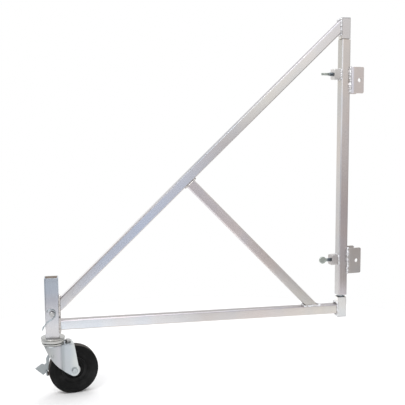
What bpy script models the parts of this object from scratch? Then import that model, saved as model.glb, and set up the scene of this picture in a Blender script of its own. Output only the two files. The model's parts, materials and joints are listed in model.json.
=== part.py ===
"""Swing-out scaffold outrigger with a locking swivel caster.

A mast clamps to a scaffold leg with two U channels and two paddle screws. A triangular frame of
square tube swings about the mast on two pivot pins. A post at the frame's outer corner holds the
stem of a swivel caster, kept in by a spring-wire lock pin.

Metres, +Z up. The origin is where the swing axis meets the floor, and +X points into the channels.
"""
import math

import bmesh
import bpy
from mathutils import Vector

# ---------------------------------------------------------------- driving dimensions
GAP = 0.0003                 # clearance between touching pieces

# Frame, in its own axes: the mast at x = 0 and the post at x = -REACH
REACH = 0.7885               # swing axis to swivel axis
SWING = math.radians(-7.7)   # frame turned about the mast
TUBE = 0.0254                # square tube of the mast and frame
TUBE_WALL = 0.0016
TUBE_CORNER = 0.003
BOTTOM_Z = 0.1845            # centre line of the bottom tube
DIAGONAL_POST_Z = 0.2175     # diagonal's centre line at the swivel axis
DIAGONAL_MAST_Z = 0.9683     # and at the swing axis
BRACE_ON_DIAGONAL = 0.448    # share of the reach, counted from the post
BRACE_ON_BOTTOM = 0.906

# Mast and swing pivots
MAST_BOTTOM = 0.2238
MAST_TOP = 0.9213
KNUCKLE = 0.0536             # length of each knuckle
PIVOT_SLOT = 0.0064          # open gap over the bottom knuckle
PLUG = 0.036                 # length of each square plug and bush
PIVOT_R = 0.0079
PIVOT_BORE_R = PIVOT_R + GAP
THRUST_TOP = 0.0010          # thickness of the upper thrust washer
THRUST_BOTTOM = 0.0016
END_CAP = 0.0017             # flange of each end cap

# Clamp brackets and screws
CHANNEL_WIDTH = 0.039        # outside, across the two legs
CHANNEL_DEPTH = 0.0375
CHANNEL_HEIGHT = 0.0705
CHANNEL_PLATE = 0.0032
CHANNEL_HOLE_R = 0.0052
CHANNEL_HOLE_X = 0.0370
BRACKET_Z = {"upper": 0.8135, "lower": 0.3202}
SCREW_Z = {"upper": 0.8290, "lower": 0.3235}
PADDLE_TURN = {"upper": 0.0, "lower": math.radians(90)}
NUT_BLOCK = (0.0215, 0.0235, 0.0280)
SCREW_R = 0.00475
SCREW_BORE_R = SCREW_R + 0.0004
PADDLE_R = 0.0098
PADDLE_THICK = 0.0060
PADDLE_X = -0.0575           # centre of the paddle
PAD_X = 0.0168               # back face of the swivel pad
PAD_R = 0.0085
PAD_THICK = 0.0040

# Caster post, stem and lock pin
POST = 0.035
POST_WALL = 0.0028
POST_CORNER = 0.004
POST_BOTTOM = 0.1533
POST_TOP = 0.3090
STEM = 0.0286
STEM_WALL = 0.0026
STEM_TOP = 0.2780
PIN_Z = 0.2171
PIN_R = 0.00475
PIN_HEAD_R = 0.0065
WIRE_R = 0.0013

# Caster, in its own axes: the swivel at the origin and the wheel trailing along +X
CASTER_TURN = math.radians(8.6)
TRAIL = 0.0508               # swivel axis to axle
WHEEL_R = 0.0635             # nominal 5 in
TYRE_HALF = 0.0155           # half the tread width
TYRE_INNER_R = 0.0323
HUB_HALF = 0.0174
BEARING_R = 0.0113
SLEEVE_R = 0.0079
AXLE_R = 0.0050
CROWN_Z = 0.1345             # top of the fork's crown
CROWN_R = 0.0295
FORK_HALF = 0.0220           # wheel's middle plane to a leg's outer face
FORK_PLATE = 0.0030
FORK_CHIN = (-0.0247, 0.1344)  # where the leading edge leaves the crown
FORK_ARC_R = 0.1560          # long curve of each leg's leading edge
FORK_FOOT = (0.0502, 0.0612)  # centre of each leg's round end
FORK_FOOT_R = 0.0126
FORK_TAIL_X = 0.0496         # top of each leg's trailing edge
FLANGE_R = 0.0310
FLANGE_THICK = 0.0040
RACE_R = 0.0300
LOWER_RACE_R = 0.0280
RACE_BORE_R = 0.0120
BALL_RING_R = 0.0212
BALL_R = 0.0028
BALL_Z = 0.1400
KING_R = 0.00635
CROWN_BOLT_X = 0.0385
CROWN_BOLT_R = 0.0040
CROWN_NUT_THICK = 0.0030     # a thin nut that clears the tyre
BRAKE_PIVOT = (-0.0050, 0.1100)
BRAKE_PIN_R = 0.0030
BARREL_R = 0.0060
BARREL_HALF = 0.0100
LEVER_THICK = 0.0040
SHOE_GAP = 0.0010            # brake shoe to tread, brake on
SHOE_THICK = 0.0042


# ---------------------------------------------------------------- scene and materials
def clear_scene():
    for item in list(bpy.data.objects):
        bpy.data.objects.remove(item, do_unlink=True)


def make_material(name, colour, roughness, metallic):
    material = bpy.data.materials.new(name)
    material.use_nodes = True
    shader = material.node_tree.nodes["Principled BSDF"]
    shader.inputs["Base Color"].default_value = (*colour, 1.0)
    shader.inputs["Roughness"].default_value = roughness
    shader.inputs["Metallic"].default_value = metallic
    material.diffuse_color = (*colour, 1.0)
    return material


FINISHES = {
    "zinc_tube": ((0.62, 0.60, 0.60), 0.42, 1.0),
    "zinc_plate": ((0.52, 0.49, 0.48), 0.50, 1.0),
    "bright_zinc": ((0.58, 0.61, 0.62), 0.30, 1.0),
    "bolt_steel": ((0.45, 0.50, 0.53), 0.32, 1.0),
    "dark_steel": ((0.20, 0.22, 0.24), 0.40, 1.0),
    "spring_steel": ((0.50, 0.53, 0.55), 0.28, 1.0),
    "black_rubber": ((0.020, 0.021, 0.022), 0.62, 0.0),
    "black_core": ((0.026, 0.027, 0.029), 0.48, 0.0),
    "bronze_bush": ((0.42, 0.30, 0.16), 0.45, 1.0),
    "grey_nylon": ((0.42, 0.42, 0.43), 0.50, 0.0),
}


# ---------------------------------------------------------------- outlines and solids
def arc(centre, radius, start, end, steps):
    """Points of an arc in a plane, angles in radians, both ends included."""
    points = []
    for step in range(steps + 1):
        angle = start + (end - start) * step / steps
        points.append((centre[0] + radius * math.cos(angle), centre[1] + radius * math.sin(angle)))
    return points


def rounded_rectangle(width, height, radius, steps=3):
    points = []
    for quarter, (sx, sy) in enumerate(((1, 1), (-1, 1), (-1, -1), (1, -1))):
        centre = (sx * (width / 2 - radius), sy * (height / 2 - radius))
        start = quarter * math.pi / 2
        points += arc(centre, radius, start, start + math.pi / 2, steps)
    return points


def polygon(radius, sides, turn=0.0):
    return arc((0.0, 0.0), radius, turn, turn + 2 * math.pi * (sides - 1) / sides, sides - 1)


def solid_from_rings(name, rings, closed, material, parent):
    """Join equal loops of points with quads, then join the last to the first or cap both ends."""
    mesh = bpy.data.meshes.new(name)
    count = len(rings[0])
    points = [point for ring in rings for point in ring]
    faces = []
    spans = len(rings) if closed else len(rings) - 1
    for span in range(spans):
        low = span * count
        high = ((span + 1) % len(rings)) * count
        for i in range(count):
            j = (i + 1) % count
            faces.append((low + i, low + j, high + j, high + i))
    if not closed:
        faces.append(tuple(range(count)))
        faces.append(tuple(range(len(points) - count, len(points))))
    mesh.from_pydata(points, [], faces)
    work = bmesh.new()
    work.from_mesh(mesh)
    bmesh.ops.recalc_face_normals(work, faces=work.faces)
    work.to_mesh(mesh)
    work.free()
    piece = bpy.data.objects.new(name, mesh)
    bpy.context.scene.collection.objects.link(piece)
    piece.parent = parent
    if material:
        mesh.materials.append(MATERIALS[material])
        mesh.shade_smooth()
        mesh.set_sharp_from_angle(angle=math.radians(32))
    else:
        piece.hide_render = True
        piece.display_type = "WIRE"
    return piece


def turned(name, profile, material, parent, segments=32, closed=True):
    """Turn a profile of (radius, height) points about local Z."""
    rings = []
    for radius, height in profile:
        rings.append([(x, y, height) for x, y in polygon(radius, segments)])
    return solid_from_rings(name, rings, closed, material, parent)


def washer(name, inner, outer, low, high, material, parent, segments=24):
    profile = [(inner, low), (outer, low), (outer, high), (inner, high)]
    return turned(name, profile, material, parent, segments)


def rod(name, radius, low, high, material, parent, chamfer=0.0, segments=24):
    profile = [(radius, low + chamfer), (radius, high - chamfer)]
    if chamfer:
        profile = [(radius - chamfer, low), *profile, (radius - chamfer, high)]
    return turned(name, profile, material, parent, segments, closed=False)


def prism(name, outline, low, high, material, parent, bevel=0.0):
    """Extrude an outline along local Z. A bevel shrinks both end faces towards the axis."""
    def layer(inset, height):
        return [(x * (1 - inset / math.hypot(x, y)), y * (1 - inset / math.hypot(x, y)), height)
                for x, y in outline]

    rings = [layer(0, low), layer(0, high)]
    if bevel:
        rings = [layer(bevel, low), layer(0, low + bevel), layer(0, high - bevel), layer(bevel, high)]
    return solid_from_rings(name, rings, False, material, parent)


def side_plate(name, outline, low, high, material, parent):
    """Extrude an outline of (x, z) points across, from y = low to y = high."""
    rings = [[(x, y, z) for x, z in outline] for y in (low, high)]
    return solid_from_rings(name, rings, False, material, parent)


def square_pipe(name, size, wall, corner, low, high, material, parent):
    """An upright hollow square tube, open at both ends."""
    outer = rounded_rectangle(size, size, corner)
    inner = rounded_rectangle(size - 2 * wall, size - 2 * wall, corner - wall)
    rings = [[(x, y, z) for x, y in loop]
             for loop, z in ((outer, low), (outer, high), (inner, high), (inner, low))]
    return solid_from_rings(name, rings, True, material, parent)


def mitred_tube(name, start, end, start_cut, end_cut, material, parent):
    """A frame tube from start to end. Each end lies in a plane, given as a point and a normal."""
    along = (end - start).normalized()
    across = Vector((0, 1, 0))
    upward = along.cross(across)

    def ring(size, corner, cut):
        loop = []
        for a, b in rounded_rectangle(size, size, corner):
            base = start + upward * a + across * b
            travel = (cut[0] - base).dot(cut[1]) / along.dot(cut[1])
            loop.append(base + along * travel)
        return loop

    hollow = TUBE - 2 * TUBE_WALL
    hollow_corner = TUBE_CORNER - TUBE_WALL
    rings = [
        ring(TUBE, TUBE_CORNER, start_cut),
        ring(TUBE, TUBE_CORNER, end_cut),
        ring(hollow, hollow_corner, end_cut),
        ring(hollow, hollow_corner, start_cut),
    ]
    return solid_from_rings(name, rings, True, material, parent)


def smooth_route(points, steps):
    """A Catmull-Rom curve through the points."""
    padded = [points[0] * 2 - points[1], *points, points[-1] * 2 - points[-2]]
    route = []
    for i in range(1, len(padded) - 2):
        a, b, c, d = padded[i - 1:i + 3]
        for step in range(steps):
            t = step / steps
            bend = (2 * a - 5 * b + 4 * c - d) * t ** 2 + (3 * b - a - 3 * c + d) * t ** 3
            route.append((2 * b + (c - a) * t + bend) / 2)
    route.append(points[-1])
    return route


def wire(name, route, radius, material, parent, sides=8):
    """A round wire along a route."""
    rings = []
    side = None
    for i, point in enumerate(route):
        ahead = route[min(i + 1, len(route) - 1)]
        behind = route[max(i - 1, 0)]
        tangent = (ahead - behind).normalized()
        if side is None:
            side = tangent.orthogonal()
        side = (side - tangent * side.dot(tangent)).normalized()
        lift = tangent.cross(side)
        rings.append([point + side * x + lift * y for x, y in polygon(radius, sides)])
    return solid_from_rings(name, rings, False, material, parent)


def boolean(piece, tool, operation="DIFFERENCE"):
    modifier = piece.modifiers.new(tool.name, "BOOLEAN")
    modifier.operation = operation
    modifier.solver = "EXACT"
    modifier.object = tool


def lay(piece, axis, location=(0, 0, 0)):
    """Turn a piece built about Z so that it lies along X or towards -Y, and place it."""
    if axis == "X":
        piece.rotation_euler = (0, math.radians(90), 0)
    if axis == "-Y":
        piece.rotation_euler = (math.radians(90), 0, 0)
    piece.location = location
    return piece


def drill(pieces, axis, location, radius, reach, parent, name):
    """Drill one round hole through every piece given."""
    tool = rod(name, radius, -reach, reach, None, parent, segments=24)
    lay(tool, axis, location)
    for piece in pieces:
        boolean(piece, tool)


def make_empty(name, parent, location, turn=0.0):
    empty = bpy.data.objects.new(name, None)
    bpy.context.scene.collection.objects.link(empty)
    empty.parent = parent
    empty.location = location
    empty.rotation_euler = (0, 0, turn)
    return empty


# ---------------------------------------------------------------- mast and swing pivots
def square_bush(name, low, high, material, parent):
    """A square plug that fills the tube, with a round bore for the pivot pin."""
    size = TUBE - 2 * TUBE_WALL - 2 * GAP
    bush = prism(name, rounded_rectangle(size, size, 0.0014, 2), low, high, material, parent)
    drill([bush], "Z", (0, 0, (low + high) / 2), PIVOT_BORE_R, PLUG, parent, name + "_bore")
    return bush


def build_mast(root):
    mast = square_pipe("mast_tube", TUBE, TUBE_WALL, TUBE_CORNER, MAST_BOTTOM, MAST_TOP, "zinc_tube", root)
    square_bush("mast_top_plug", MAST_TOP - PLUG, MAST_TOP - GAP, "zinc_tube", root)
    square_bush("mast_bottom_plug", MAST_BOTTOM + GAP, MAST_BOTTOM + PLUG, "zinc_tube", root)
    for z in SCREW_Z.values():
        drill([mast], "X", (0, 0, z), SCREW_BORE_R, TUBE, root, "mast_screw_hole")


def build_pivot(name, inner_end, outer_end, ring_z, root):
    """A pivot pin welded into the mast's plug, with a retaining ring near its outer end."""
    low, high = sorted((inner_end, outer_end))
    rod(name + "_pivot_pin", PIVOT_R, low, high, "bolt_steel", root, 0.0008)
    washer(name + "_pivot_ring", PIVOT_BORE_R, 0.0104, ring_z, ring_z + 0.0014, "dark_steel", root)


def build_pivots(root):
    top_bush_end = TOP_KNUCKLE_Z + PLUG
    bottom_bush_end = BOTTOM_KNUCKLE_TOP - PLUG
    build_pivot("upper", MAST_TOP - PLUG + 0.001, top_bush_end + 0.0045, top_bush_end + GAP, root)
    build_pivot("lower", MAST_BOTTOM + PLUG - 0.001, bottom_bush_end - 0.0045,
                bottom_bush_end - GAP - 0.0014, root)
    washer("upper_thrust_washer", PIVOT_BORE_R, 0.0115, MAST_TOP + GAP, MAST_TOP + GAP + THRUST_TOP,
           "bronze_bush", root)
    washer("lower_thrust_washer", PIVOT_BORE_R, 0.0115, BOTTOM_KNUCKLE_TOP + GAP,
           BOTTOM_KNUCKLE_TOP + GAP + THRUST_BOTTOM, "bolt_steel", root)


# ---------------------------------------------------------------- clamp brackets
def channel_outline(inset):
    """Plan of a U channel that opens towards +X, as one band around its three walls."""
    back = TUBE / 2 + GAP
    bend = 0.0045 - inset
    half = CHANNEL_WIDTH / 2 - inset
    outline = [(back + CHANNEL_DEPTH, half)]
    outline += arc((back + inset + bend, half - bend), bend, math.pi / 2, math.pi, 4)
    outline += arc((back + inset + bend, bend - half), bend, math.pi, 1.5 * math.pi, 4)
    outline.append((back + CHANNEL_DEPTH, -half))
    return outline


def build_bracket(level, root):
    z = BRACKET_Z[level]
    low = z - CHANNEL_HEIGHT / 2
    high = z + CHANNEL_HEIGHT / 2
    band = channel_outline(0) + channel_outline(CHANNEL_PLATE)[::-1]
    rings = [[(x, y, height) for x, y in band] for height in (low, high)]
    channel = solid_from_rings(level + "_channel", rings, False, "zinc_plate", root)
    drill([channel], "-Y", (CHANNEL_HOLE_X, 0, z), CHANNEL_HOLE_R, CHANNEL_WIDTH, root,
          level + "_channel_bolt_hole")
    drill([channel], "X", (TUBE / 2, 0, SCREW_Z[level]), SCREW_BORE_R, 0.008, root,
          level + "_channel_screw_hole")
    round_channel_corners(channel, level, low, high, root)


def round_channel_corners(channel, level, low, high, root):
    """Round the four free corners of the legs with one frame-shaped cutter seen from the side."""
    end = TUBE / 2 + GAP + CHANNEL_DEPTH
    radius = 0.004
    margin = 0.01
    outline = [(end - radius, low - margin)]
    outline += arc((end - radius, low + radius), radius, -math.pi / 2, 0, 4)
    outline += arc((end - radius, high - radius), radius, 0, math.pi / 2, 4)
    outline += [(end - radius, high + margin), (end + margin, high + margin), (end + margin, low - margin)]
    tool = side_plate(level + "_channel_corners", outline, -CHANNEL_WIDTH, CHANNEL_WIDTH, None, root)
    boolean(channel, tool)


def build_clamp(level, root, holders):
    """Nut block on the mast, paddle screw through it, and the swivel pad on the screw's tip."""
    z = SCREW_Z[level]
    length, depth, height = NUT_BLOCK
    front = -TUBE / 2 - GAP
    block = prism(level + "_nut_block", rounded_rectangle(height, depth, 0.0035, 2), 0, length,
                  "zinc_plate", root, 0.001)
    lay(block, "X", (front - length, 0, z))
    drill([block], "X", (front - length / 2, 0, z), SCREW_BORE_R, length, root, level + "_block_bore")

    pad = holders[level + "_pad"]
    foot = turned(level + "_clamp_pad", [
        (PAD_R - 0.0008, PAD_THICK), (PAD_R, PAD_THICK - 0.0008), (PAD_R, 0.0),
        (SCREW_R + GAP, 0.0), (SCREW_R + GAP, 0.0018), (0.0030, 0.0018),
        (0.0030, PAD_THICK - 0.0006), (0.0040, PAD_THICK)], "bolt_steel", pad, 24)
    lay(foot, "X")

    screw = holders[level + "_screw"]
    neck = PADDLE_X + PADDLE_R * 0.75
    tip = PAD_X + 0.0018 - GAP
    shaft = turned(level + "_clamp_screw", [
        (0.0040, neck - 0.004), (0.0044, neck), (SCREW_R, neck + 0.002),
        (SCREW_R, tip - 0.001), (SCREW_R - 0.001, tip)], "dark_steel", screw, 24, closed=False)
    lay(shaft, "X", (-PAD_X, 0, 0))
    paddle = turned(level + "_paddle", [
        (PADDLE_R - 0.0016, -PADDLE_THICK / 2), (PADDLE_R, -PADDLE_THICK / 2 + 0.0016),
        (PADDLE_R, PADDLE_THICK / 2 - 0.0016), (PADDLE_R - 0.0016, PADDLE_THICK / 2)],
        None, screw, 24, closed=False)
    paddle.location = (PADDLE_X - PAD_X, 0, 0)
    boolean(shaft, paddle, "UNION")
    screw.rotation_euler = (PADDLE_TURN[level], 0, 0)


# ---------------------------------------------------------------- swinging frame
def build_frame(frame):
    post_axis = Vector((-REACH, 0, 0))
    post_face = (post_axis + Vector((POST / 2 + GAP, 0, 0)), Vector((1, 0, 0)))
    knuckle_face = (Vector((-TUBE / 2 - GAP, 0, 0)), Vector((1, 0, 0)))
    low_end = post_axis + Vector((0, 0, DIAGONAL_POST_Z))
    high_end = Vector((0, 0, DIAGONAL_MAST_Z))
    mitred_tube("diagonal_tube", low_end, high_end, post_face, knuckle_face, "zinc_tube", frame)

    left = post_axis + Vector((0, 0, BOTTOM_Z))
    right = Vector((0, 0, BOTTOM_Z))
    mitred_tube("bottom_tube", left, right, post_face, knuckle_face, "zinc_tube", frame)

    along = (high_end - low_end).normalized()
    below = Vector((along.z, 0, -along.x))
    brace_top = low_end.lerp(high_end, BRACE_ON_DIAGONAL)
    brace_foot = left.lerp(right, BRACE_ON_BOTTOM)
    diagonal_face = (brace_top + below * (TUBE / 2 + GAP), below)
    bottom_face = (brace_foot + Vector((0, 0, TUBE / 2 + GAP)), Vector((0, 0, 1)))
    mitred_tube("brace_tube", brace_top, brace_foot, diagonal_face, bottom_face, "zinc_tube", frame)

    top = TOP_KNUCKLE_Z + KNUCKLE
    bottom = BOTTOM_KNUCKLE_TOP - KNUCKLE
    square_pipe("top_knuckle", TUBE, TUBE_WALL, TUBE_CORNER, TOP_KNUCKLE_Z, top, "zinc_tube", frame)
    square_pipe("bottom_knuckle", TUBE, TUBE_WALL, TUBE_CORNER, bottom, BOTTOM_KNUCKLE_TOP,
                "zinc_tube", frame)
    square_bush("top_knuckle_bush", TOP_KNUCKLE_Z + GAP, TOP_KNUCKLE_Z + PLUG, "bronze_bush", frame)
    square_bush("bottom_knuckle_bush", BOTTOM_KNUCKLE_TOP - PLUG, BOTTOM_KNUCKLE_TOP - GAP,
                "bronze_bush", frame)
    build_end_cap("top_end_cap", top, 1, frame)
    build_end_cap("bottom_end_cap", bottom, -1, frame)


def build_end_cap(name, face, way, frame):
    """A cap with a flange over the tube's end and a plug inside it. Way is +1 up or -1 down."""
    plug = TUBE - 2 * TUBE_WALL - 2 * GAP
    rings = []
    for size, corner, depth in ((plug, 0.0014, -0.007), (plug, 0.0014, GAP),
                                (TUBE, TUBE_CORNER, GAP), (TUBE, TUBE_CORNER, END_CAP),
                                (TUBE - 0.001, TUBE_CORNER - 0.0005, END_CAP + 0.0004)):
        rings.append([(x, y, face + way * depth) for x, y in rounded_rectangle(size, size, corner)])
    solid_from_rings(name, rings, False, "grey_nylon", frame)


def build_post(swivel):
    post = square_pipe("caster_post", POST, POST_WALL, POST_CORNER, POST_BOTTOM, POST_TOP,
                       "zinc_tube", swivel)
    stem = square_pipe("caster_stem", STEM, STEM_WALL, 0.0034, POST_BOTTOM, STEM_TOP,
                       "bright_zinc", swivel)
    drill([post, stem], "-Y", (0, 0, PIN_Z), PIN_R + 0.0004, POST, swivel, "lock_pin_hole")


def build_swivel_head(swivel):
    """Everything of the caster that stays still with the stem."""
    top = POST_BOTTOM - GAP
    low = top - FLANGE_THICK
    turned("stem_flange", [
        (KING_R + GAP, low), (FLANGE_R - 0.001, low), (FLANGE_R, low + 0.001),
        (FLANGE_R, top - 0.0012), (FLANGE_R - 0.0012, top), (KING_R + GAP, top)],
        "bright_zinc", swivel, 36)
    race_top = low - GAP
    race_low = BALL_Z + BALL_R + GAP
    turned("upper_race", [
        (RACE_BORE_R, race_low), (BALL_RING_R + BALL_R + 0.0012, race_low),
        (BALL_RING_R + BALL_R + 0.0018, race_low - 0.0018), (RACE_R, race_low - 0.0018),
        (RACE_R, race_top - 0.001), (RACE_R - 0.001, race_top), (RACE_BORE_R, race_top)],
        "bright_zinc", swivel)
    crown_low = CROWN_Z - FORK_PLATE
    turned("king_pin", [
        (KING_R - 0.0008, crown_low - 0.0122), (KING_R, crown_low - 0.0114),
        (KING_R, top + GAP), (0.0105, top + GAP), (0.0105, top + 0.0060), (0.0085, top + 0.0075)],
        "bolt_steel", swivel, 24, closed=False)
    washer("king_washer", KING_R + GAP, 0.0130, crown_low - GAP - 0.0016, crown_low - GAP,
           "bright_zinc", swivel)
    nut_top = crown_low - 2 * GAP - 0.0016
    hex_nut("king_nut", 0.0095, KING_R, nut_top - 0.0085, nut_top, swivel)


def hex_nut(name, half_flats, bore, low, high, parent):
    corner = half_flats / math.cos(math.pi / 6)
    nut = prism(name, polygon(corner, 6), low, high, "bolt_steel", parent, 0.0007)
    drill([nut], "Z", (0, 0, (low + high) / 2), bore + GAP, high - low, parent, name + "_thread")
    return nut


def build_lock_pin(pin, bail):
    """The pin's local Z points out of the post, away from the frame."""
    face = POST / 2
    shank = turned("lock_pin", [
        (0.0030, -face - 0.0060), (PIN_R, -face - 0.0040), (PIN_R, face + 0.0036),
        (PIN_HEAD_R - 0.0006, face + 0.0036), (PIN_HEAD_R, face + 0.0042), (PIN_HEAD_R, face + 0.0070),
        (PIN_HEAD_R - 0.0016, face + 0.0084)], "bright_zinc", pin, 24, closed=False)
    lay(shank, "-Y")
    front = -face - WIRE_R - 0.0005
    turns = [(-0.0125, 0.0040), (-0.0105, 0.0090), (-0.0030, 0.0116), (0.0050, 0.0095),
             (0.0086, 0.0015), (0.0070, -0.0070), (0.0010, -0.0135), (-0.0075, -0.0180)]
    route = [Vector((x, front, z)) for x, z in turns]
    route += [Vector((-0.0160, front, -0.0245)), Vector((-0.0212, -0.0150, -0.0340)),
              Vector((-0.0240, -0.0070, -0.0415)), Vector((-0.0256, 0.0020, -0.0470)),
              Vector((-0.0262, 0.0080, -0.0478)), Vector((-0.0252, 0.0120, -0.0440)),
              Vector((-0.0236, 0.0130, -0.0390))]
    wire("lock_pin_wire", smooth_route(route, 3), WIRE_R, "spring_steel", bail, 6)


# ---------------------------------------------------------------- caster
def fork_plan(inset, tail):
    """Plan of the fork: a round crown over the swivel, running into two straight legs."""
    radius = CROWN_R - inset
    half = FORK_HALF - inset
    meet = math.asin(half / radius)
    outline = arc((0, 0), radius, meet, 2 * math.pi - meet, 28)
    return outline + [(tail, -half), (tail, half)]


def fork_side():
    """Side view of the fork: a long curve down the leading edge and a round foot by the axle."""
    start = Vector(FORK_CHIN)
    foot = Vector(FORK_FOOT)
    # The foot's circle and the long curve touch, so the curve's centre is this far from the foot.
    reach = FORK_ARC_R - FORK_FOOT_R
    offset = foot - start
    spread = offset.length
    along = (FORK_ARC_R ** 2 - reach ** 2 + spread ** 2) / (2 * spread)
    rise = math.sqrt(FORK_ARC_R ** 2 - along ** 2)
    unit = offset.normalized()
    centre = start + unit * along + Vector((-unit.y, unit.x)) * rise
    first = math.atan2(start.y - centre.y, start.x - centre.x)
    touch = foot - centre
    last = math.atan2(touch.y, touch.x)
    outline = [(start.x, CROWN_Z + 0.01)]
    outline += arc(centre, FORK_ARC_R, first, last, 14)
    outline += arc(foot, FORK_FOOT_R, last, math.radians(8), 9)[1:]
    outline.append((FORK_TAIL_X, CROWN_Z + 0.01))
    return outline


def build_fork(fork):
    lip = 0.0035
    rings = []
    for inset, z in ((0, 0.03), (0, CROWN_Z - lip), (lip * 0.13, CROWN_Z - lip * 0.5),
                     (lip * 0.5, CROWN_Z - lip * 0.13), (lip, CROWN_Z)):
        rings.append([(x, y, z) for x, y in fork_plan(inset, 0.075)])
    body = solid_from_rings("fork", rings, False, "bright_zinc", fork)
    inner = [[(x, y, z) for x, y in fork_plan(FORK_PLATE, 0.09)] for z in (0.02, CROWN_Z - FORK_PLATE)]
    boolean(body, side_plate("fork_side_view", fork_side(), -0.04, 0.04, None, fork), "INTERSECT")
    boolean(body, solid_from_rings("fork_hollow", inner, False, None, fork))
    drill([body], "-Y", (TRAIL, 0, WHEEL_R), AXLE_R + GAP, 0.04, fork, "fork_axle_hole")
    drill([body], "-Y", (BRAKE_PIVOT[0], 0, BRAKE_PIVOT[1]), BRAKE_PIN_R + GAP, 0.04, fork,
          "fork_brake_hole")
    drill([body], "Z", (0, 0, CROWN_Z), KING_R + GAP, 0.01, fork, "fork_king_hole")
    drill([body], "Z", (CROWN_BOLT_X, 0, CROWN_Z), CROWN_BOLT_R + GAP, 0.01, fork, "fork_bolt_hole")


def build_swivel_races(fork):
    low = CROWN_Z + GAP
    floor = BALL_Z - BALL_R - GAP
    lip_r = BALL_RING_R + BALL_R + 0.0018
    turned("lower_race", [
        (RACE_BORE_R, low), (LOWER_RACE_R, low), (LOWER_RACE_R, floor + 0.0014), (lip_r, floor + 0.0014),
        (lip_r - 0.0006, floor), (RACE_BORE_R, floor)], "bright_zinc", fork)
    section = arc((BALL_RING_R, BALL_Z), BALL_R, 0, 2 * math.pi * 5 / 6, 5)
    turned("ball_ring", section, "dark_steel", fork, 24)


def build_crown_bolt(fork):
    seat = CROWN_Z + GAP
    shared = make_empty("crown_bolt_axis", fork, (CROWN_BOLT_X, 0, 0))
    washer("crown_bolt_washer", CROWN_BOLT_R + GAP, 0.0080, seat, seat + 0.0014, "bright_zinc", shared, 24)
    head_low = seat + 0.0014 + GAP
    head = prism("crown_bolt", polygon(0.0073, 6), head_low, head_low + 0.0058, "bolt_steel", shared, 0.0006)
    nut_high = CROWN_Z - FORK_PLATE - GAP
    nut_low = nut_high - CROWN_NUT_THICK
    shank = rod("crown_bolt_shank", CROWN_BOLT_R, nut_low - 0.0003, head_low + 0.0010, None, shared)
    boolean(head, shank, "UNION")
    hex_nut("crown_bolt_nut", 0.0065, CROWN_BOLT_R, nut_low, nut_high, shared)


def build_axle(axle):
    """The axle's local Z points towards the bolt's head."""
    leg = FORK_HALF + GAP
    inside = FORK_HALF - FORK_PLATE - GAP
    head = prism("axle_bolt", polygon(0.0078, 6), leg, leg + 0.0056, "bolt_steel", axle, 0.0009)
    shank = rod("axle_shank", AXLE_R, -leg - 0.0105, leg + 0.0020, None, axle)
    boolean(head, shank, "UNION")
    lay(head, "-Y")
    lay(shank, "-Y")
    far_side = lay(make_empty("axle_nut_axis", axle, (0, 0, 0)), "-Y")
    hex_nut("axle_nut", 0.0076, AXLE_R, -leg - 0.0085, -leg, far_side)
    lay(washer("axle_sleeve", AXLE_R + GAP, SLEEVE_R, -inside, inside, "bolt_steel", axle), "-Y")


def build_wheel(wheel):
    shoulder = 0.0050
    edge = WHEEL_R - shoulder
    tread = TYRE_HALF - shoulder
    tyre = [(TYRE_INNER_R, -0.0135), (0.0365, -TYRE_HALF + 0.0008), (0.0400, -TYRE_HALF)]
    tyre += arc((edge, -tread), shoulder, -math.pi / 2, 0, 3)
    tyre += arc((edge, tread), shoulder, 0, math.pi / 2, 3)
    tyre += [(0.0400, TYRE_HALF), (0.0365, TYRE_HALF - 0.0008), (TYRE_INNER_R, 0.0135)]
    lay(turned("tyre", tyre, "black_rubber", wheel, 48), "-Y")

    side = [(BEARING_R + GAP, HUB_HALF), (0.0165, HUB_HALF), (0.0180, HUB_HALF - 0.0015),
            (0.0195, 0.0095), (0.0235, 0.0085), (0.0250, 0.0125), (TYRE_INNER_R - GAP, 0.0132)]
    core = side + [(r, -z) for r, z in reversed(side)]
    lay(turned("wheel_core", core, "black_core", wheel, 36), "-Y")
    lay(washer("wheel_bearing", SLEEVE_R + GAP, BEARING_R, -HUB_HALF + 0.0006, HUB_HALF - 0.0006,
               "dark_steel", wheel), "-Y")
    for name, way in (("front_dust_ring", 1), ("back_dust_ring", -1)):
        low, high = sorted((way * (HUB_HALF + GAP), way * (HUB_HALF + GAP + 0.0008)))
        lay(washer(name, SLEEVE_R + GAP, 0.0150, low, high, "bright_zinc", wheel), "-Y")


def lever_outline():
    """Side view of the brake lever about its pivot: an arm down to a square toe tab."""
    px, pz = BRAKE_PIVOT
    corners = [(0.0000, 0.1070), (-0.0095, 0.1022), (-0.0132, 0.0790), (-0.0143, 0.0661),
               (-0.0168, 0.0626), (-0.0271, 0.0542), (-0.0470, 0.0729), (-0.0295, 0.0846),
               (-0.0233, 0.0809), (-0.0186, 0.0846), (-0.0190, 0.0967), (-0.0142, 0.1054),
               (-0.0098, 0.1125)]
    return [(x - px, z - pz) for x, z in corners]


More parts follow.
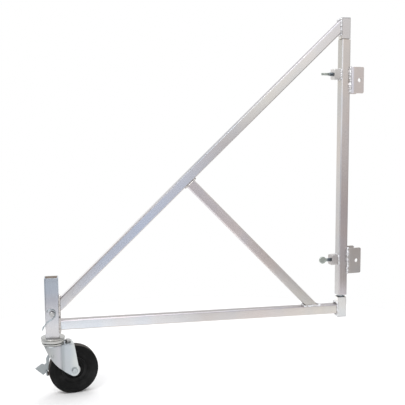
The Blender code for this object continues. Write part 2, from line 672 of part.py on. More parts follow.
def build_brake(fork, brake):
    lever = side_plate("brake_lever", lever_outline(), -LEVER_THICK / 2, LEVER_THICK / 2,
                       "bright_zinc", brake)
    barrel = rod("brake_barrel", BARREL_R, -BARREL_HALF, BARREL_HALF, None, brake)
    lay(barrel, "-Y")
    boolean(lever, barrel, "UNION")
    carrier = side_plate("brake_carrier", shoe_outline(SHOE_THICK, 0.0022, 178, 189.5), -0.0070, 0.0070,
                         None, brake)
    boolean(lever, carrier, "UNION")
    drill([lever], "-Y", (0, 0, 0), BRAKE_PIN_R + GAP, 0.03, brake, "brake_barrel_bore")
    side_plate("brake_shoe", shoe_outline(0, SHOE_THICK - GAP, 182.5, 189), -0.0080, 0.0080,
               "black_rubber", brake)

    skirt = math.sqrt(CROWN_R ** 2 - BRAKE_PIVOT[0] ** 2)
    pin = rod("brake_pivot_pin", BRAKE_PIN_R, -skirt + 0.0004, skirt - 0.0004, "bolt_steel", fork, 0.0004)
    lay(pin, "-Y", (BRAKE_PIVOT[0], 0, BRAKE_PIVOT[1]))
    build_brake_spring(fork)


def shoe_outline(offset, thick, first, last):
    """A band around the tread, seen from the side, in the lever's own axes."""
    centre = (TRAIL - BRAKE_PIVOT[0], WHEEL_R - BRAKE_PIVOT[1])
    near = WHEEL_R + SHOE_GAP + offset
    start, end = math.radians(first), math.radians(last)
    return arc(centre, near, start, end, 5) + arc(centre, near + thick, end, start, 5)


def build_brake_spring(fork):
    """A small torsion spring on the brake's pivot pin, behind the barrel."""
    coil_r = BRAKE_PIN_R + 0.0022
    wire_r = 0.0008
    turns = 3
    steps = 10
    first = BARREL_HALF + 0.0014
    route = [Vector((coil_r, first, -0.0060)), Vector((coil_r, first, -0.0030))]
    for step in range(turns * steps + 1):
        angle = 2 * math.pi * step / steps
        y = first + 0.0021 * step / steps
        route.append(Vector((coil_r * math.cos(angle), y, coil_r * math.sin(angle))))
    route.append(route[-1] + Vector((0, 0, 0.0100)))
    spring = wire("brake_spring", route, wire_r, "spring_steel", fork, 5)
    spring.location = (BRAKE_PIVOT[0], 0, BRAKE_PIVOT[1])


# ---------------------------------------------------------------- assembly
clear_scene()
MATERIALS = {name: make_material(name, *look) for name, look in FINISHES.items()}
TOP_KNUCKLE_Z = MAST_TOP + THRUST_TOP + 2 * GAP
BOTTOM_KNUCKLE_TOP = MAST_BOTTOM - PIVOT_SLOT

mast_axis = make_empty("mast_axis", None, (0, 0, 0))
build_mast(mast_axis)
build_pivots(mast_axis)
clamp_holders = {}
for clamp_level in ("upper", "lower"):
    pad_place = (PAD_X, 0, SCREW_Z[clamp_level])
    clamp_holders[clamp_level + "_pad"] = make_empty(clamp_level + "_pad_axis", mast_axis, pad_place)
    clamp_holders[clamp_level + "_screw"] = make_empty(clamp_level + "_screw_axis", mast_axis, pad_place)
    build_bracket(clamp_level, mast_axis)
    build_clamp(clamp_level, mast_axis, clamp_holders)

frame_axis = make_empty("frame_axis", mast_axis, (0, 0, 0), SWING)
build_frame(frame_axis)
post_place = make_empty("post_place", frame_axis, (-REACH, 0, 0))
build_post(post_place)
build_swivel_head(post_place)
pin_axis = make_empty("pin_axis", post_place, (0, 0, PIN_Z))
bail_axis = make_empty("bail_axis", pin_axis, (0, 0, 0))
build_lock_pin(pin_axis, bail_axis)

swivel_axis = make_empty("swivel_axis", post_place, (0, 0, 0), CASTER_TURN)
build_fork(swivel_axis)
build_swivel_races(swivel_axis)
build_crown_bolt(swivel_axis)
axle_axis = make_empty("axle_axis", swivel_axis, (TRAIL, 0, WHEEL_R))
build_axle(axle_axis)
build_wheel(axle_axis)
brake_axis = make_empty("brake_axis", swivel_axis, (BRAKE_PIVOT[0], 0, BRAKE_PIVOT[1]))
build_brake(swivel_axis, brake_axis)
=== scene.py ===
"""Looks of the swing-out scaffold outrigger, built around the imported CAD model."""
import json
import math
import random

import bpy
from mathutils import Matrix, Vector


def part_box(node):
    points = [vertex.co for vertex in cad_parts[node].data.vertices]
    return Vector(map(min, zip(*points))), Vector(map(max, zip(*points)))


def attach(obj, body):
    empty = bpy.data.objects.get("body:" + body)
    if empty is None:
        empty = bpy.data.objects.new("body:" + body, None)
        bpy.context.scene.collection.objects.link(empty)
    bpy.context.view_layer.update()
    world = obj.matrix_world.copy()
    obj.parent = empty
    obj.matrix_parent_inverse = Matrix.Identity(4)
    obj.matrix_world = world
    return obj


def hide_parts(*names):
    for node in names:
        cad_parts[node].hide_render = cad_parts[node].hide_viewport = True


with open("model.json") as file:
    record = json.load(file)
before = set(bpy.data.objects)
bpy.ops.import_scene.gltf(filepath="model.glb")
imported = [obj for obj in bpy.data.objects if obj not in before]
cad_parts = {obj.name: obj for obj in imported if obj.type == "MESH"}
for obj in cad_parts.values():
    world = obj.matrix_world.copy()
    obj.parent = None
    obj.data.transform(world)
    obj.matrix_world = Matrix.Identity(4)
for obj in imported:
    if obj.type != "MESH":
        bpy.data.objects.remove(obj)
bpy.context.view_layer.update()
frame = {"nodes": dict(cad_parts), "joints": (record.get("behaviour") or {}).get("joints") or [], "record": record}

# ---------------------------------------------------------------- view and light
CAMERA_PLACE = (-0.9675, -1.6427, 0.6770)
CAMERA_HEADING = 18.86       # degrees from +Y towards +X
CAMERA_DROP = 5.925          # degrees below the horizon
CAMERA_ROLL = -0.337
LENS = 60.48                 # millimetres on a 36 mm sensor
FLOOR_RADIUS = 1.10
FLOOR_CENTRE = (-0.40, -0.10)

# ---------------------------------------------------------------- sizes of the added detail
REACH = 0.7885               # swing axis to swivel axis
DIAGONAL_RISE = 0.7508       # of the diagonal's centre line, over the reach
WELD_PITCH = 0.0055          # one puddle of a bead
WELD_STEPS = 6
SCREW_R = 0.00475
THREAD_PITCH = 0.0015875
THREAD_DEPTH = 0.00085
AXLE_THREAD_R = 0.0050
AXLE_END = 0.0022            # of the axle bolt, past its nut
POST_HALF = 0.0175
POST_INSIDE = 0.0149         # post's axis to just past its inner faces
CROWN_INSIDE = 0.0268        # the fork's crown, from the swivel axis to just past its inner face
CROWN_END_X = 0.0197         # where the round crown runs into the flat legs
LEG_INSIDE = 0.0193          # wheel's middle plane to just past a leg's inner face
WIRE_R = 0.0013
TYRE_HALF = 0.0155
TYRE_INNER_R = 0.0323
# Pale dust and a painted sheen on the tread show outside this radius.
TREAD_R = 0.0624             # dust shows outside this radius
HUB_HALF = 0.0174
BALLS = 22
# Painted light and shade by facing: between these cosines a face takes a side's painted tones.
FACING = (0.76, 0.86)        # cosines between which a face starts to look a side's way
# Painted shade inside the post starts past its inner faces.
INNER_SHADE_EDGE = 0.0004           # over which the look changes at the post's inner faces
FORK_PLATE = 0.0029

# ---------------------------------------------------------------- places read from the frame
JOINTS = {joint["name"]: joint for joint in frame["joints"]}
MAST_LOW, MAST_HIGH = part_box("mast_tube")
TUBE = MAST_HIGH.x - MAST_LOW.x
SWIVEL = Vector(JOINTS["caster_swivel"]["pos_m"])
AXLE = Vector(JOINTS["wheel_spin"]["pos_m"])
AXLE_WAY = Vector(JOINTS["wheel_spin"]["axis"])
BRAKE_AXIS = Vector(JOINTS["brake_lift"]["pos_m"])
PIN_AXIS = Vector(JOINTS["pin_wire_turn"]["pos_m"])
SWING = math.atan2(-SWIVEL.y, -SWIVEL.x)
FRAME_TURN = Matrix.Rotation(SWING, 3, "Z")
FRAME_X = FRAME_TURN @ Vector((1, 0, 0))
FRAME_Y = FRAME_TURN @ Vector((0, 1, 0))
UP = Vector((0, 0, 1))
CASTER_TURN = math.atan2(-AXLE_WAY.x, AXLE_WAY.y) - SWING
CASTER = Matrix.Translation((SWIVEL.x, SWIVEL.y, 0)) @ Matrix.Rotation(SWING + CASTER_TURN, 4, "Z")
POST = Matrix.Translation((SWIVEL.x, SWIVEL.y, 0)) @ Matrix.Rotation(SWING, 4, "Z")


# ---------------------------------------------------------------- material helpers
def new_material(name):
    material = bpy.data.materials.new(name)
    material.use_nodes = True
    return material, material.node_tree.nodes["Principled BSDF"]


def node(material, kind, inputs=None, **settings):
    """Add a node. An input is given as a value, or as another node's output to link."""
    made = material.node_tree.nodes.new(kind)
    for key, value in settings.items():
        setattr(made, key, value)
    for key, value in (inputs or {}).items():
        if isinstance(value, bpy.types.NodeSocket):
            material.node_tree.links.new(value, made.inputs[key])
        else:
            made.inputs[key].default_value = value
    return made


def mixed(material, factor, first, second, blend="MIX"):
    made = node(material, "ShaderNodeMix", {"Factor": factor}, data_type="RGBA", blend_type=blend)
    for socket, value in ((made.inputs[6], first), (made.inputs[7], second)):
        if isinstance(value, bpy.types.NodeSocket):
            material.node_tree.links.new(value, socket)
        else:
            socket.default_value = (*value, 1.0)
    return made.outputs[2]


def remapped(material, value, low, high, out_low, out_high):
    made = node(material, "ShaderNodeMapRange", {"Value": value, "From Min": low, "From Max": high,
                                                 "To Min": out_low, "To Max": out_high})
    return made.outputs["Result"]


def ramp(material, factor, stops):
    made = node(material, "ShaderNodeValToRGB", {"Fac": factor})
    elements = made.color_ramp.elements
    while len(elements) < len(stops):
        elements.new(0.5)
    for element, (place, colour) in zip(elements, stops):
        element.position = place
        element.color = (*colour, 1.0)
    return made.outputs["Color"]


def noise(material, vector, scale, detail=2.0, rough=0.5):
    made = node(material, "ShaderNodeTexNoise", {"Vector": vector, "Scale": scale, "Detail": detail,
                                                 "Roughness": rough})
    return made.outputs["Fac"]


def grain_space(material, along, stretch=(1.0, 1.0, 1.0)):
    """Object coordinates turned so that local X runs along a direction."""
    coords = node(material, "ShaderNodeTexCoord").outputs["Object"]
    turn = Vector(along).to_track_quat("X", "Z").inverted().to_euler()
    turned = node(material, "ShaderNodeMapping", {"Vector": coords, "Rotation": turn}).outputs["Vector"]
    return node(material, "ShaderNodeMapping", {"Vector": turned, "Scale": stretch}).outputs["Vector"]


def sums(material, operation, first, second=0.0):
    """The result of a Math node."""
    return node(material, "ShaderNodeMath", {0: first, 1: second}, operation=operation).outputs[0]


def vectors(material, operation, first, second):
    """A Vector Math node."""
    return node(material, "ShaderNodeVectorMath", {0: first, 1: second}, operation=operation)


def blended(material, factor, low, high, first, second):
    """One colour turning into another while a value goes from low to high."""
    return mixed(material, remapped(material, factor, low, high, 0.0, 1.0), first, second)


def zinc(name, tones, roughness, along=(0, 0, 1), span=(0.0, 1.0), sides=(), drawn=0.07, bump=0.02):
    """Plated steel. Tones run from one end of the span to the other, along the given direction.

    Each side is a direction and the tones of the faces or rounded corners that look that way: painted light and
    painted shade by which way a face looks. Tones that change along the span are painted reflections and painted
    shade.
    """
    material, shader = new_material(name)
    place = grain_space(material, along)
    lines = grain_space(material, along, (6.0, 1100.0, 1100.0))
    split = node(material, "ShaderNodeSeparateXYZ", {"Vector": place})
    share = remapped(material, split.outputs["X"], span[0], span[1], 0.0, 1.0)
    # Tones that change along the span are painted reflections and painted shade; an even tone is the zinc's own
    # colour.
    base = ramp(material, share, tones)
    # Each side tints the faces and rounded corners that look its way: painted light and painted shade by facing.
    for way, painted_side_tones in sides:
        facing = node(material, "ShaderNodeTexCoord").outputs["Normal"]
        turned_to = vectors(material, "DOT_PRODUCT", facing, way).outputs["Value"]
        base = blended(material, turned_to, *FACING, base, ramp(material, share, painted_side_tones))
    patches = noise(material, place, 14.0, 2.0, 0.5)
    cool_warm = ramp(material, patches, [(0.32, (0.86, 0.92, 1.00)), (0.50, (1.0, 1.0, 1.0)),
                                         (0.68, (1.0, 0.94, 0.90))])
    colour = mixed(material, 0.35, base, cool_warm, "MULTIPLY")
    streak = noise(material, lines, 1.0, 1.0, 0.5)
    line_tone = ramp(material, streak, [(0.32, (0.80, 0.80, 0.81)), (0.56, (1.0, 1.0, 1.0))])
    colour = mixed(material, drawn, colour, line_tone, "MULTIPLY")
    speckle = noise(material, place, 1600.0, 1.0, 0.5)
    fleck = ramp(material, speckle, [(0.34, (0.72, 0.71, 0.70)), (0.46, (1.0, 1.0, 1.0))])
    colour = mixed(material, 0.08, colour, fleck, "MULTIPLY")
    material.node_tree.links.new(colour, shader.inputs["Base Color"])
    uneven = sums(material, "ADD", streak, speckle)
    rough = remapped(material, uneven, 0.7, 1.3, roughness - 0.01, roughness + 0.04)
    material.node_tree.links.new(rough, shader.inputs["Roughness"])
    lift = node(material, "ShaderNodeBump", {"Height": uneven, "Strength": bump, "Distance": 0.0003})
    material.node_tree.links.new(lift.outputs["Normal"], shader.inputs["Normal"])
    shader.inputs["Metallic"].default_value = 1.0
    return material


def recolour(material, change):
    """Pass a material's colour through a change, a function that is given the colour's socket."""
    shader = material.node_tree.nodes["Principled BSDF"]
    link = shader.inputs["Base Color"].links[0]
    material.node_tree.links.new(change(link.from_socket), shader.inputs["Base Color"])


def parts_of(material, centre, turn):
    """X, Y and Z seen from a centre, turned about Z."""
    coords = node(material, "ShaderNodeTexCoord").outputs["Object"]
    moved = vectors(material, "SUBTRACT", coords, centre).outputs[0]
    level = node(material, "ShaderNodeMapping", {"Vector": moved, "Rotation": (0, 0, -turn)}).outputs[0]
    return node(material, "ShaderNodeSeparateXYZ", {0: level}).outputs


def paint_post_inner_shade(material):
    """Inside the post the surface is made non-metal, so it no longer reflects like metal, and painted brown-grey:
    painted shade in the post's mouth.
    """
    x, y, _ = parts_of(material, (SWIVEL.x, SWIVEL.y, 0), SWING)
    away = sums(material, "MAXIMUM", sums(material, "ABSOLUTE", x), sums(material, "ABSOLUTE", y))
    # Painted shade: past the inner faces the post is non-metal and brown-grey.
    shine = remapped(material, away, POST_INSIDE, POST_INSIDE + INNER_SHADE_EDGE, 0.0, 1.0)
    material.node_tree.links.new(shine, material.node_tree.nodes["Principled BSDF"].inputs["Metallic"])
    recolour(material, lambda shown: blended(material, away, POST_INSIDE, POST_INSIDE + INNER_SHADE_EDGE,
                                             (0.42, 0.37, 0.33), shown))


def paint_fork_inner_shade(material):
    """Painted shade inside the fork, near black: within the round crown, and between the flat legs."""
    x, y, z = parts_of(material, (SWIVEL.x, SWIVEL.y, 0), SWING + CASTER_TURN)
    across = sums(material, "DIVIDE", sums(material, "ABSOLUTE", y), LEG_INSIDE)
    reach = sums(material, "POWER", sums(material, "ADD", sums(material, "MULTIPLY", x, x),
                                         sums(material, "MULTIPLY", y, y)), 0.5)
    around = sums(material, "DIVIDE", reach, CROWN_INSIDE)
    on_leg = sums(material, "GREATER_THAN", x, CROWN_END_X)
    crown = sums(material, "MULTIPLY", around, sums(material, "SUBTRACT", 1.0, on_leg))
    share = sums(material, "ADD", crown, sums(material, "MULTIPLY", across, on_leg))
    over = sums(material, "GREATER_THAN", z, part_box("fork")[1].z - FORK_PLATE)
    # The near-black colour is painted shade on the fork's inner faces.
    recolour(material, lambda shown: blended(material, sums(material, "ADD", share, over), 1.0, 1.02,
                                             (0.030, 0.030, 0.030), shown))


def paint_tread_dust_and_sheen(material, centre, axis, radius, dust_and_sheen_tint):
    """Pale brown on the tread outside a radius: dust that the wheel picks up on the ground, and a painted sheen on
    the tread.
    """
    coords = node(material, "ShaderNodeTexCoord").outputs["Object"]
    moved = vectors(material, "SUBTRACT", coords, centre).outputs[0]
    across = vectors(material, "CROSS_PRODUCT", moved, axis).outputs[0]
    away = node(material, "ShaderNodeVectorMath", {0: across}, operation="LENGTH").outputs["Value"]
    # Dust and painted sheen: the tread is tinted pale brown outside the radius.
    recolour(material, lambda shown: blended(material, away, radius, radius + 0.0012, shown, dust_and_sheen_tint))


def weld_metal(name, valley, ripple_top):
    """Bright ripples with greyer, duller valleys."""
    material, shader = new_material(name)
    coords = node(material, "ShaderNodeTexCoord").outputs["Object"]
    ripple = noise(material, coords, 210.0, 2.0, 0.5)
    tone = ramp(material, ripple, [(0.40, valley), (0.54, ripple_top)])
    material.node_tree.links.new(tone, shader.inputs["Base Color"])
    rough = remapped(material, ripple, 0.40, 0.60, 0.44, 0.28)
    material.node_tree.links.new(rough, shader.inputs["Roughness"])
    fine = noise(material, coords, 900.0, 2.0, 0.5)
    lift = node(material, "ShaderNodeBump", {"Height": fine, "Strength": 0.20, "Distance": 0.0003})
    material.node_tree.links.new(lift.outputs["Normal"], shader.inputs["Normal"])
    shader.inputs["Metallic"].default_value = 1.0
    return material


def moulded(name, colour, roughness, shine=0.16, speckle_scale=700.0, bump=0.15):
    """Rubber or plastic with a fine moulded texture and light scuffs."""
    material, shader = new_material(name)
    shader.inputs["Specular IOR Level"].default_value = shine
    coords = node(material, "ShaderNodeTexCoord").outputs["Object"]
    fine = noise(material, coords, speckle_scale, 3.0, 0.6)
    wide = noise(material, coords, 38.0, 4.0, 0.6)
    dull = tuple(min(1.0, c * 1.9 + 0.012) for c in colour)
    dusty = ramp(material, wide, [(0.42, colour), (0.72, dull)])
    material.node_tree.links.new(dusty, shader.inputs["Base Color"])
    rough = remapped(material, wide, 0.3, 0.7, roughness - 0.06, roughness + 0.10)
    material.node_tree.links.new(rough, shader.inputs["Roughness"])
    lift = node(material, "ShaderNodeBump", {"Height": fine, "Strength": bump, "Distance": 0.0003})
    material.node_tree.links.new(lift.outputs["Normal"], shader.inputs["Normal"])
    return material


# ---------------------------------------------------------------- mesh helpers
def piece_from(name, points, faces, material, body, sharp=35.0):
    mesh = bpy.data.meshes.new(name)
    mesh.from_pydata([tuple(p) for p in points], [], faces)
    mesh.validate()
    mesh.shade_smooth()
    mesh.set_sharp_from_angle(angle=math.radians(sharp))
    mesh.materials.append(material)
    piece = bpy.data.objects.new(name, mesh)
    bpy.context.scene.collection.objects.link(piece)
    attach(piece, body)
    return piece


def loft(rings, closed_along=False, capped=True):
    """Points and faces of a skin over equal rings."""
    count = len(rings[0])
    points = [p for ring in rings for p in ring]
    faces = []
    for span in range(len(rings) if closed_along else len(rings) - 1):
        low = span * count
        high = ((span + 1) % len(rings)) * count
        for i in range(count):
            j = (i + 1) % count
            faces.append((low + i, low + j, high + j, high + i))
    if capped and not closed_along:
        faces.append(tuple(range(count - 1, -1, -1)))
        faces.append(tuple(range(len(points) - count, len(points))))
    return points, faces


def ring_of(centre, side, lift, radius, sides):
    turn = 2 * math.pi / sides
    return [centre + side * (radius * math.cos(turn * i)) + lift * (radius * math.sin(turn * i))
            for i in range(sides)]


def arc(centre, radius, start, end, steps):
    """Points of an arc in a plane, angles in degrees, both ends included."""
    points = []
    for step in range(steps + 1):
        angle = math.radians(start + (end - start) * step / steps)
        points.append((centre[0] + radius * math.cos(angle), centre[1] + radius * math.sin(angle)))
    return points


def smooth_route(points, steps):
    """A Catmull-Rom curve through the points."""
    padded = [points[0] * 2 - points[1], *points, points[-1] * 2 - points[-2]]
    route = []
    for i in range(1, len(padded) - 2):
        a, b, c, d = padded[i - 1:i + 3]
        for step in range(steps):
            t = step / steps
            bend = (2 * a - 5 * b + 4 * c - d) * t ** 2 + (3 * b - a - 3 * c + d) * t ** 3
            route.append((2 * b + (c - a) * t + bend) / 2)
    route.append(points[-1])
    return route


def swept(route, radii, sides, closed=False):
    """Rings of a round rod along a route, with a radius for each point."""
    rings = []
    side = None
    count = len(route)
    for i, point in enumerate(route):
        ahead = route[(i + 1) % count] if closed else route[min(i + 1, count - 1)]
        behind = route[i - 1] if closed else route[max(i - 1, 0)]
        tangent = (ahead - behind).normalized()
        if side is None:
            side = tangent.orthogonal()
        side = (side - tangent * side.dot(tangent)).normalized()
        rings.append(ring_of(point, side, tangent.cross(side), radii[i], sides))
    return rings


def span_of(name, way):
    """Where a CAD node starts and ends along a direction."""
    reach = [vertex.co.dot(way) for vertex in frame["nodes"][name].data.vertices]
    return min(reach), max(reach)


def turned(profile, place, axis, segments):
    """Rings of a closed profile of (radius, distance along the axis) pairs, turned about the axis."""
    side = Vector(axis).orthogonal().normalized()
    lift = Vector(axis).cross(side).normalized()
    return [ring_of(place + Vector(axis) * along, side, lift, radius, segments)
            for radius, along in profile]


# ---------------------------------------------------------------- welds
def evenly(points, step, closed):
    """The same polyline with points at an even spacing."""
    corners = [*points, points[0]] if closed else points
    lengths = [(b - a).length for a, b in zip(corners, corners[1:])]
    total = sum(lengths)
    count = max(4, round(total / step))
    route = []
    span = 0
    start = 0.0
    for i in range(count if closed else count + 1):
        want = total * i / count
        while span < len(lengths) - 1 and want > start + lengths[span]:
            start += lengths[span]
            span += 1
        share = (want - start) / lengths[span]
        route.append(corners[span].lerp(corners[span + 1], min(1.0, share)))
    return route


def weld(name, points, size, body, closed=False, look="weld"):
    """A bead laid as a row of overlapping puddles, each a little different."""
    step = WELD_PITCH / WELD_STEPS
    route = evenly(points, step, closed)
    radii = []
    grow = 1.0
    for i in range(len(route)):
        share = (i % WELD_STEPS) / WELD_STEPS
        if i % WELD_STEPS == 0:
            grow = 1.0 + dice.uniform(-0.10, 0.10)
            drift = Vector([dice.uniform(-0.12, 0.12) * size for _ in range(3)])
        radii.append(size * grow * (0.64 + 0.36 * math.sqrt(1.0 - share ** 2)))
        route[i] = route[i] + drift
        from_end = min(i, len(route) - 1 - i)
        if not closed and from_end < 3:
            radii[-1] *= (0.35, 0.70, 0.92)[from_end]
    points, faces = loft(swept(route, radii, 12, closed), closed_along=closed)
    piece_from(name, points, faces, MATERIALS[look], body, 50.0)


def end_outline(name, way, out):
    """The outline of a tube's end that faces a direction, moved outwards by a distance."""
    corners = [v.co for v in frame["nodes"][name].data.vertices]
    reach = max(co.dot(way) for co in corners)
    rim = [co for co in corners if co.dot(way) > reach - 0.0002]
    side = FRAME_Y
    lift = way.cross(side).normalized()
    centre = sum(rim, Vector()) / len(rim)
    wide = max(abs((co - centre).dot(side)) for co in rim)
    low = min((co - centre).dot(lift) for co in rim)
    high = max((co - centre).dot(lift) for co in rim)
    plane = centre - way * out
    corner = 0.003
    outline = []
    for sx, sz, turn in ((1, high, 0), (-1, high, 90), (-1, low, 180), (1, low, 270)):
        hub = (sx * (wide + out - corner), sz + math.copysign(out - corner, sz))
        outline += arc(hub, corner, turn, turn + 90, 3)
    return [plane + side * x + lift * z for x, z in outline]


def build_frame_welds():
    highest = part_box("top_knuckle")[1].z - 0.0025
    for name, way in (("diagonal_tube", -FRAME_X), ("diagonal_tube", FRAME_X),
                      ("bottom_tube", -FRAME_X), ("bottom_tube", FRAME_X), ("brace_tube", -UP)):
        end = {(-1): "post", 1: "knuckle", 0: "foot"}[round(way.dot(FRAME_X))]
        outline = end_outline(name, way, 0.0010)
        for point in outline:
            point.z = min(point.z, highest)
        size, look = (0.0034, "dull_weld") if end == "post" else (0.0028, "weld")
        weld(f"weld_{name}_{end}", outline, size, "swing_frame", True, look)
    outline = end_outline("brace_tube", diagonal_side(), 0.0012)
    weld("weld_brace_tube_top", outline, 0.0018, "swing_frame", True, "dull_weld")


def diagonal_side():
    """The direction from the brace to the diagonal, square to the diagonal."""
    slope = math.atan2(DIAGONAL_RISE, REACH)
    return (FRAME_X * -math.sin(slope) + UP * math.cos(slope)).normalized()


def build_bracket_welds():
    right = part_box("mast_tube")[1].x
    half = TUBE / 2
    for level in ("upper", "lower"):
        low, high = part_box(level + "_channel")
        for side_name, side in (("front", -1), ("back", 1)):
            place = [Vector((right - 0.0010, side * (half + 0.0022), z))
                     for z in (low.z - 0.002, high.z + 0.003)]
            weld(f"weld_{level}_channel_{side_name}", place, 0.0042, "mast")
        low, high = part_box(level + "_nut_block")
        for side_name, side in (("front", -1), ("back", 1)):
            place = [Vector((high.x - 0.0014, side * (half - 0.0005), z))
                     for z in (low.z + 0.001, high.z - 0.001)]
            weld(f"weld_{level}_block_{side_name}", place, 0.0032, "mast")
        for side_name, z in (("top", high.z), ("under", low.z)):
            place = [Vector((high.x - 0.0008, y, z)) for y in (-half + 0.003, half - 0.003)]
            weld(f"weld_{level}_block_{side_name}", place, 0.0022, "mast")


# ---------------------------------------------------------------- clamp screws
def thread_share(x, low, high):
    """0 on the plain shank and 1 where the thread is full."""
    fade = THREAD_PITCH * 1.2
    return max(0.0, min(1.0, (x - low) / fade, (high - x) / fade))


def threaded_rings(centre_of, side, lift, low, high, radius, sides=30):
    rings = []
    steps = math.ceil((high - low) / THREAD_PITCH * 9)
    for i in range(steps + 1):
        x = low + (high - low) * i / steps
        depth = THREAD_DEPTH * thread_share(x, low, high)
        ring = []
        for j in range(sides):
            turn = 2 * math.pi * j / sides
            phase = (x / THREAD_PITCH - j / sides) % 1.0
            rise = min(1.0, max(0.0, (abs(2 * phase - 1) - 0.14) / 0.72))
            r = radius - depth * (1 - rise)
            ring.append(centre_of(x) + side * (r * math.cos(turn)) + lift * (r * math.sin(turn)))
        rings.append(ring)
    return rings


def build_paddle_screw(level):
    low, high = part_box(level + "_clamp_screw")
    pad_low, pad_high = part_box(level + "_clamp_pad")
    z = (pad_low.z + pad_high.z) / 2
    wide = Vector((0, 1, 0)) if high.y - low.y > high.z - low.z else UP
    thick = Vector((1, 0, 0)).cross(wide)
    paddle_r = max(high.y - low.y, high.z - low.z) / 2
    paddle_x = low.x + paddle_r
    neck = paddle_x + paddle_r * 1.35
    block_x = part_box(level + "_nut_block")[0].x

    def centre(x):
        return Vector((x, 0, z))

    rings = []
    for i in range(19):
        angle = math.pi * i / 18
        x = paddle_x - paddle_r * math.cos(angle)
        if x > neck:
            break
        half = paddle_r * math.sin(angle)
        towards = max(0.0, (x - paddle_x) / (neck - paddle_x))
        half = max(half, SCREW_R * 0.96 * min(1.0, towards * 2.2))
        deep = min(half, 0.0030 + (SCREW_R - 0.0030) * towards ** 1.6)
        power = 0.45 + 0.55 * min(1.0, towards * 1.2)
        ring = []
        for j in range(30):
            turn = 2 * math.pi * j / 30
            across = math.copysign(abs(math.cos(turn)) ** power, math.cos(turn)) * max(half, 0.0004)
            through = math.copysign(abs(math.sin(turn)) ** power, math.sin(turn)) * max(deep, 0.0003)
            ring.append(centre(x) + wide * across + thick * through)
        rings.append(ring)
    rings.append(ring_of(centre(neck), wide, thick, SCREW_R * 0.94, 30))
    rings += threaded_rings(centre, wide, thick, neck + 0.0008, block_x + 0.0075, SCREW_R)
    rings += threaded_rings(centre, wide, thick, 0.0040, pad_low.x + 0.0004, SCREW_R)
    rings.append(ring_of(centre(high.x - 0.001), wide, thick, SCREW_R - 0.0003, 30))
    rings.append(ring_of(centre(high.x), wide, thick, SCREW_R - 0.0012, 30))
    points, faces = loft(rings)
    piece = piece_from(level + "_paddle_screw", points, faces, MATERIALS["clamp_screw"],
                       level + "_screw", 38.0)
    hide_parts(level + "_clamp_screw")


def build_axle_thread():
    """The threaded end of the axle bolt that shows past its nut."""
    nut_face = span_of("axle_nut", AXLE_WAY)[1]
    start = AXLE + AXLE_WAY * (nut_face - AXLE.dot(AXLE_WAY))
    side = AXLE_WAY.orthogonal().normalized()
    lift = AXLE_WAY.cross(side)
    rings = threaded_rings(lambda x: start + AXLE_WAY * x, side, lift, 0.0, AXLE_END,
                           AXLE_THREAD_R + 0.0001, 24)
    rings.append(ring_of(start + AXLE_WAY * (AXLE_END + 0.0006), side, lift, AXLE_THREAD_R - 0.0010, 24))
    points, faces = loft(rings)
    piece_from("axle_thread", points, faces, MATERIALS["bolt_steel"], "caster_fork", 38.0)


# ---------------------------------------------------------------- wheel
def build_wheel():
    low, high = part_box("tyre")
    radius = (high.z - low.z) / 2
    half = TYRE_HALF
    shoulder = 0.0050
    side = [(TYRE_INNER_R, half - 0.0022), (0.0330, half - 0.0012), (0.0345, half - 0.0010),
            (0.0352, half - 0.0002), (0.0368, half - 0.0002), (0.0375, half - 0.0009),
            (0.0480, half - 0.0004), (0.0486, half), (0.0496, half), (0.0502, half - 0.0004)]
    tread = [(r, y) for y, r in arc((half - shoulder, radius - shoulder), shoulder, 0, 90, 8)]
    seam = [(radius, 0.0006), (radius + 0.0003, 0.0002)]
    front = side + tread + seam
    profile = front + [(r, -y) for r, y in reversed(front)]
    rings = turned(profile, AXLE, -AXLE_WAY, 160)
    points, faces = loft(rings, closed_along=True)
    tyre = piece_from("tyre_rubber", points, faces, MATERIALS["black_rubber"], "wheel",
                      40.0)
    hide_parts("tyre")

    side = [(0.0116, HUB_HALF), (0.0158, HUB_HALF), (0.0165, HUB_HALF - 0.0004), (0.0176, 0.0150),
            (0.0186, 0.0104), (0.0194, 0.0096), (0.0228, 0.0090), (0.0237, 0.0096), (0.0244, 0.0120),
            (0.0252, 0.0128), (0.0272, 0.0130), (0.0280, 0.0122), (0.0288, 0.0122), (0.0296, 0.0130),
            (TYRE_INNER_R - 0.0003, 0.0132)]
    profile = side + [(r, -y) for r, y in reversed(side)]
    points, faces = loft(turned(profile, AXLE, -AXLE_WAY, 128), closed_along=True)
    hub = piece_from("wheel_hub", points, faces, MATERIALS["black_core"], "wheel", 40.0)
    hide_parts("wheel_core")


# ---------------------------------------------------------------- small caster parts
def build_balls():
    low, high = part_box("ball_ring")
    centre = (low + high) / 2
    ball_r = (high.z - low.z) / 2
    ring_r = (high.x - low.x) / 2 - (high.z - low.z) / 2
    points, faces = [], []
    for k in range(BALLS):
        turn = 2 * math.pi * k / BALLS
        place = centre + Vector((ring_r * math.cos(turn), ring_r * math.sin(turn), 0))
        profile = [(ball_r * math.sin(math.radians(a)), -ball_r * math.cos(math.radians(a)))
                   for a in (8, 30, 52, 74, 90, 106, 128, 150, 172)]
        ball_points, ball_faces = loft(turned(profile, place, UP, 14))
        faces += [tuple(i + len(points) for i in face) for face in ball_faces]
        points += ball_points
    balls = piece_from("swivel_balls", points, faces, MATERIALS["bolt_steel"], "caster_fork",
                       60.0)
    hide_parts("ball_ring")


